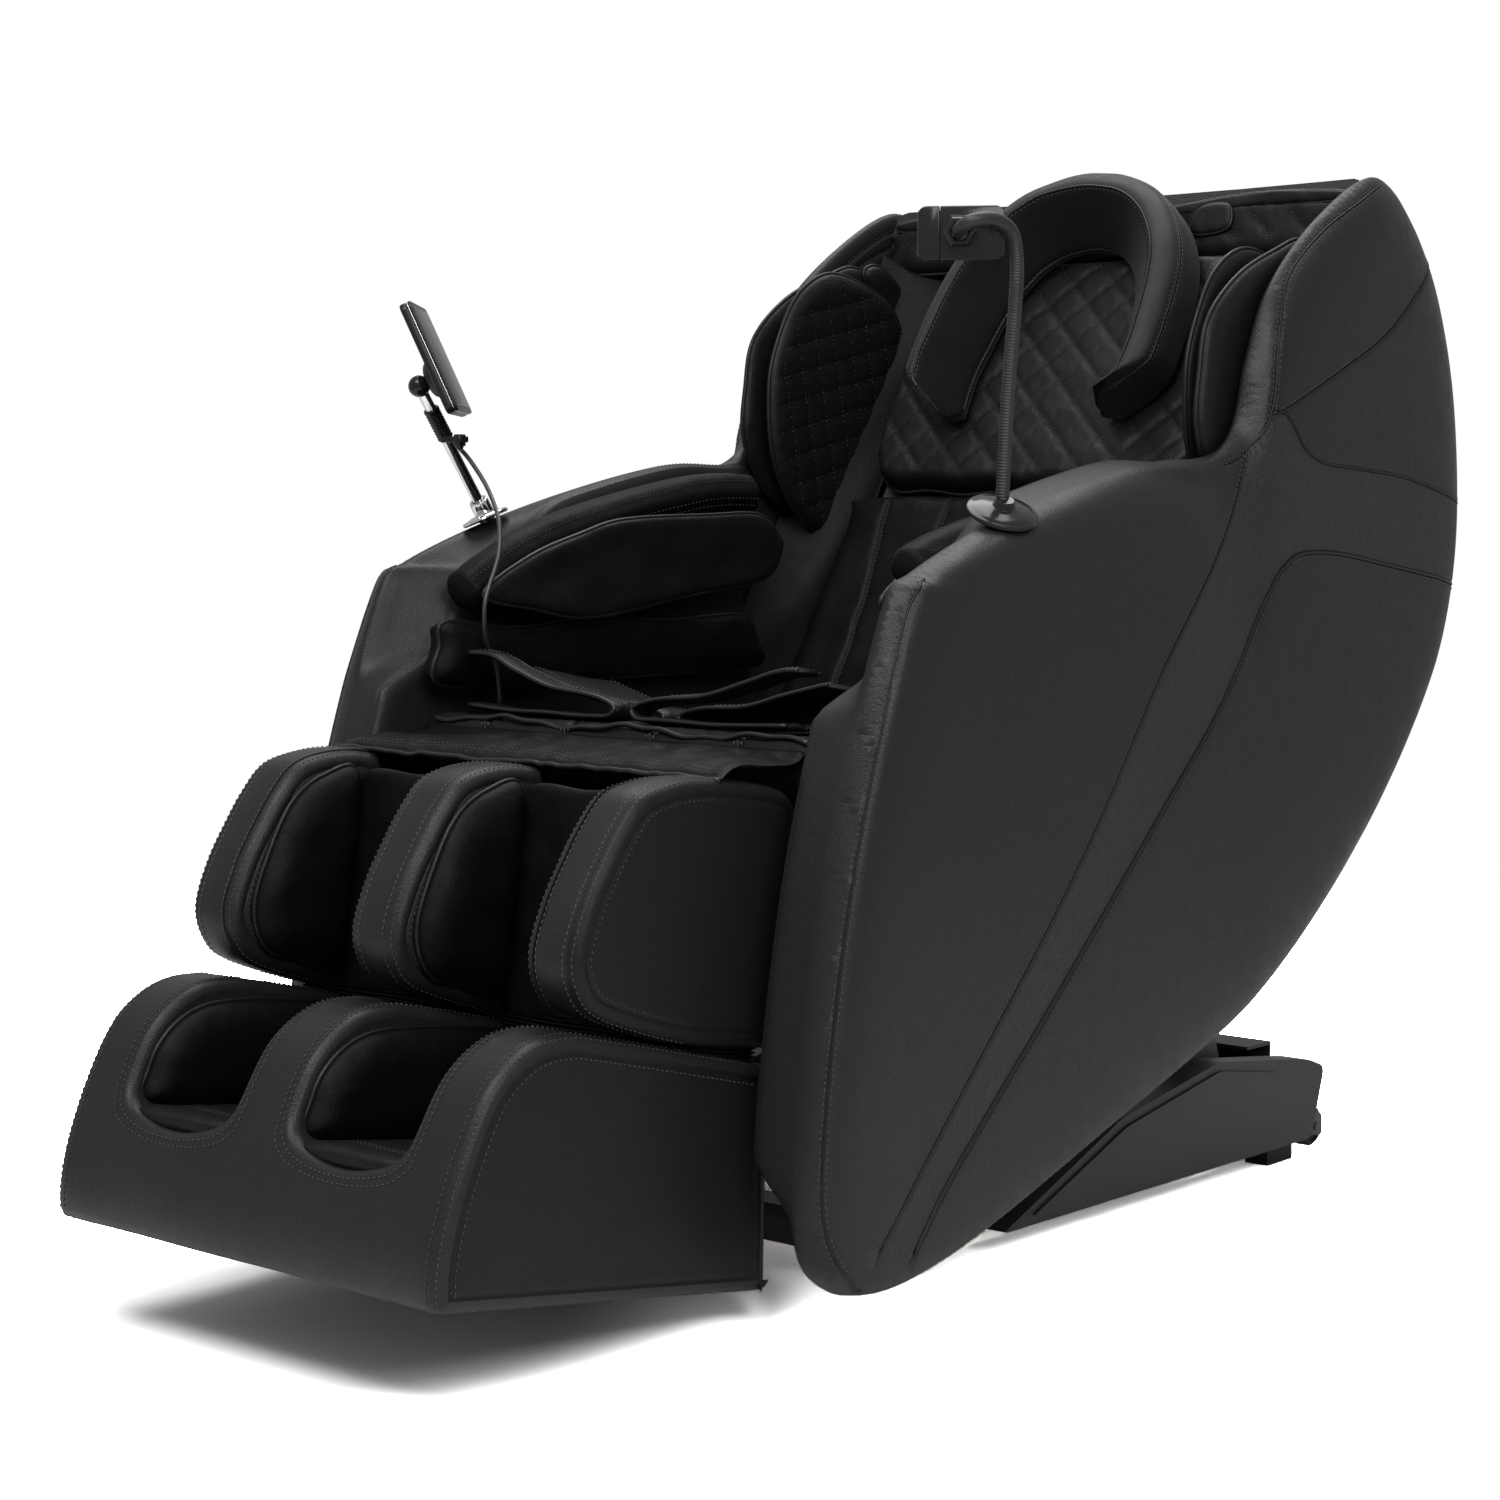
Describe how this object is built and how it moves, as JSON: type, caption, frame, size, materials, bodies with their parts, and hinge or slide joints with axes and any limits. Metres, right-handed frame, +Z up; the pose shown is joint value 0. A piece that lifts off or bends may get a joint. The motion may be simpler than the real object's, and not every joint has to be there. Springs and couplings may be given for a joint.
{
  "type": "massage chair",
  "caption": "Reclining full-body massage chair with rocking cradle, wrap-around side shells, winged hood, roller carriage, lifting and telescoping leg rest, phone clamp and tablet stand.",
  "frame": {"origin": "on the floor, under the middle of the chair's bounding box", "axes": "+X to the user's left, -Y the way the user faces, +Z up"},
  "size_m": [0.7943, 1.6136, 1.1839],
  "materials": {
    "shell_leather": "black synthetic leather, fine grain, semi-matt",
    "pad_leather": "softer black synthetic leather",
    "quilted_leather": "black quilted synthetic leather",
    "pillow_cover": "black synthetic leather",
    "frame_paint": "dark grey powder coat",
    "bright_steel": "turned steel",
    "pole_chrome": "polished",
    "cover_plastic": "grained black moulding",
    "motor_plastic": "dark moulding",
    "holder_plastic": "gloss black moulding",
    "black_rubber": "black rubber",
    "plywood": "bare plywood"
  },
  "bodies": {
    "base": {"base_rails": "frame_paint", "base_crossbars": "frame_paint", "base_feet": "black_rubber", "base_cover_left": "cover_plastic", "base_cover_right": "cover_plastic", "base_cover_rear": "cover_plastic", "pivot_brackets": "frame_paint", "pivot_pins": "bright_steel", "power_inlet": "cover_plastic", "control_box": "motor_plastic", "air_pump": "motor_plastic", "wheel_forks": "frame_paint"},
    "wheel_left": {"transport_wheel_left": "black_rubber"},
    "wheel_right": {"transport_wheel_right": "black_rubber"},
    "switch": {"power_switch": "black_rubber"},
    "cradle": {"side_shell_left": "shell_leather", "side_shell_right": "shell_leather", "rear_shell": "shell_leather", "arm_body_left": "shell_leather", "arm_body_right": "shell_leather", "seat_side_plates": "frame_paint", "seat_cross_tubes": "frame_paint", "seat_board": "plywood", "knee_pins": "bright_steel", "back_rails": "frame_paint", "back_crossbars": "frame_paint", "seat_cushion": "pad_leather", "knee_apron": "shell_leather", "back_pad_lower": "pad_leather", "back_pad_quilted": "quilted_leather", "hood_liner": "pad_leather", "head_pillow": "pillow_cover", "arm_rolls": "shell_leather", "arm_pockets": "shell_leather", "shoulder_pads_left": "quilted_leather", "shoulder_pads_right": "quilted_leather", "seat_wraps": "shell_leather", "tablet_base": "holder_plastic", "tablet_cord": "black_rubber"},
    "recline_motor": {"recline_motor_tube": "motor_plastic"},
    "recline_ram": {"recline_rod": "bright_steel"},
    "leg_motor": {"leg_motor_tube": "motor_plastic"},
    "leg_ram": {"leg_rod": "bright_steel"},
    "calf_rest": {"calf_shell": "shell_leather", "calf_pads": "pad_leather", "leg_tubes": "bright_steel"},
    "foot_rest": {"foot_shell": "shell_leather", "foot_pads": "pad_leather", "leg_rods": "bright_steel"},
    "foot_massager": {"foot_rollers": "black_rubber"},
    "carriage": {"carriage_frame": "frame_paint"},
    "screw": {"lead_screw": "bright_steel"},
    "kneading_arms": {"roller_arms": "motor_plastic"},
    "upper_rollers": {"rollers_upper": "black_rubber"},
    "lower_rollers": {"rollers_lower": "black_rubber"},
    "phone_neck": {"phone_stand": "holder_plastic"},
    "clamp": {"phone_clamp": "holder_plastic"},
    "clamp_jaw": {"phone_jaw": "holder_plastic"},
    "pole": {"tablet_pole": "pole_chrome"},
    "tablet": {"tablet": "holder_plastic"}
  },
  "joints": [
    {"name": "recline", "type": "hinge", "parent": "base", "child": "cradle", "pos_m": [0, 0.43, 0.24], "axis": [-1, 0, 0], "range_deg": [0, 30]},
    {"name": "recline_motor_tilt", "type": "hinge", "parent": "base", "child": "recline_motor", "pos_m": [0, 0.19, 0.095], "axis": [-1, 0, 0], "range_deg": [-1, 15.73]},
    {"name": "recline_stroke", "type": "slide", "parent": "recline_motor", "child": "recline_ram", "axis": [0, -0.0377, 0.9993], "range_m": [-0.001, 0.1205]},
    {"name": "wheel_left_spin", "type": "hinge", "parent": "base", "child": "wheel_left", "pos_m": [0.235, 0.672, 0.03], "axis": [1, 0, 0], "continuous": true},
    {"name": "wheel_right_spin", "type": "hinge", "parent": "base", "child": "wheel_right", "pos_m": [-0.235, 0.672, 0.03], "axis": [1, 0, 0], "continuous": true},
    {"name": "switch_rock", "type": "hinge", "parent": "base", "child": "switch", "pos_m": [-0.179, 0.611, 0.107], "axis": [1, 0, 0], "range_deg": [-6, 6]},
    {"name": "leg_lift", "type": "hinge", "parent": "cradle", "child": "calf_rest", "pos_m": [0, -0.37, 0.49], "axis": [-1, 0, 0], "range_deg": [-6, 64]},
    {"name": "leg_motor_tilt", "type": "hinge", "parent": "cradle", "child": "leg_motor", "pos_m": [0, -0.18, 0.415], "axis": [-1, 0, 0], "range_deg": [-1.89, 10.45]},
    {"name": "leg_stroke", "type": "slide", "parent": "leg_motor", "child": "leg_ram", "axis": [0, -0.9966, 0.082], "range_m": [-0.006, 0.0538]},
    {"name": "foot_extension", "type": "slide", "parent": "calf_rest", "child": "foot_rest", "axis": [0, -0.1513, -0.9885], "range_m": [0, 0.15]},
    {"name": "foot_roller_spin", "type": "hinge", "parent": "foot_rest", "child": "foot_massager", "pos_m": [0, -0.63627, 0.13823], "axis": [1, 0, 0], "continuous": true},
    {"name": "carriage_travel", "type": "slide", "parent": "cradle", "child": "carriage", "axis": [0, 0.5299, 0.848], "range_m": [-0.15, 0.17]},
    {"name": "screw_spin", "type": "hinge", "parent": "cradle", "child": "screw", "pos_m": [0, 0.50498, 0.71836], "axis": [0, 0.5299, 0.848], "range_deg": [-2165, 2453]},
    {"name": "kneading_swing", "type": "hinge", "parent": "carriage", "child": "kneading_arms", "pos_m": [0, 0.46767, 0.74168], "axis": [-1, 0, 0], "range_deg": [-8, 8]},
    {"name": "upper_roller_spin", "type": "hinge", "parent": "kneading_arms", "child": "upper_rollers", "pos_m": [0, 0.48197, 0.82118], "axis": [1, 0, 0], "continuous": true},
    {"name": "lower_roller_spin", "type": "hinge", "parent": "kneading_arms", "child": "lower_rollers", "pos_m": [0, 0.40248, 0.69397], "axis": [1, 0, 0], "continuous": true},
    {"name": "phone_swivel", "type": "hinge", "parent": "cradle", "child": "phone_neck", "pos_m": [0.35, -0.118, 0.78157], "axis": [0.4271, -0.225, 0.8758], "range_deg": [-170, 170]},
    {"name": "phone_tilt", "type": "hinge", "parent": "phone_neck", "child": "clamp", "pos_m": [0.34, -0.175, 1.05317], "axis": [0.829, 0.5592, 0], "range_deg": [-15, 15]},
    {"name": "clamp_open", "type": "slide", "parent": "clamp", "child": "clamp_jaw", "axis": [-0.829, -0.5592, 0], "range_m": [0, 0.025]},
    {"name": "pole_swivel", "type": "hinge", "parent": "cradle", "child": "pole", "pos_m": [-0.342, -0.159, 0.78421], "axis": [0, -0.5736, 0.8192], "range_deg": [-80, 80], "deforming": ["tablet_cord"]},
    {"name": "tablet_tilt", "type": "hinge", "parent": "pole", "child": "tablet", "pos_m": [-0.342, -0.25307, 0.91855], "axis": [0.6561, -0.7547, 0], "range_deg": [-12, 12]}
  ],
  "couplings": [
    {"joint": "recline_motor_tilt", "follows": "recline", "ratio": 0.4909},
    {"joint": "recline_stroke", "follows": "recline", "m_per_rad": 0.2282},
    {"joint": "leg_motor_tilt", "follows": "leg_lift", "ratio": 0.1477},
    {"joint": "leg_stroke", "follows": "leg_lift", "m_per_rad": 0.0473},
    {"joint": "screw_spin", "follows": "carriage_travel", "rad_per_m": 251.33}
  ]
}
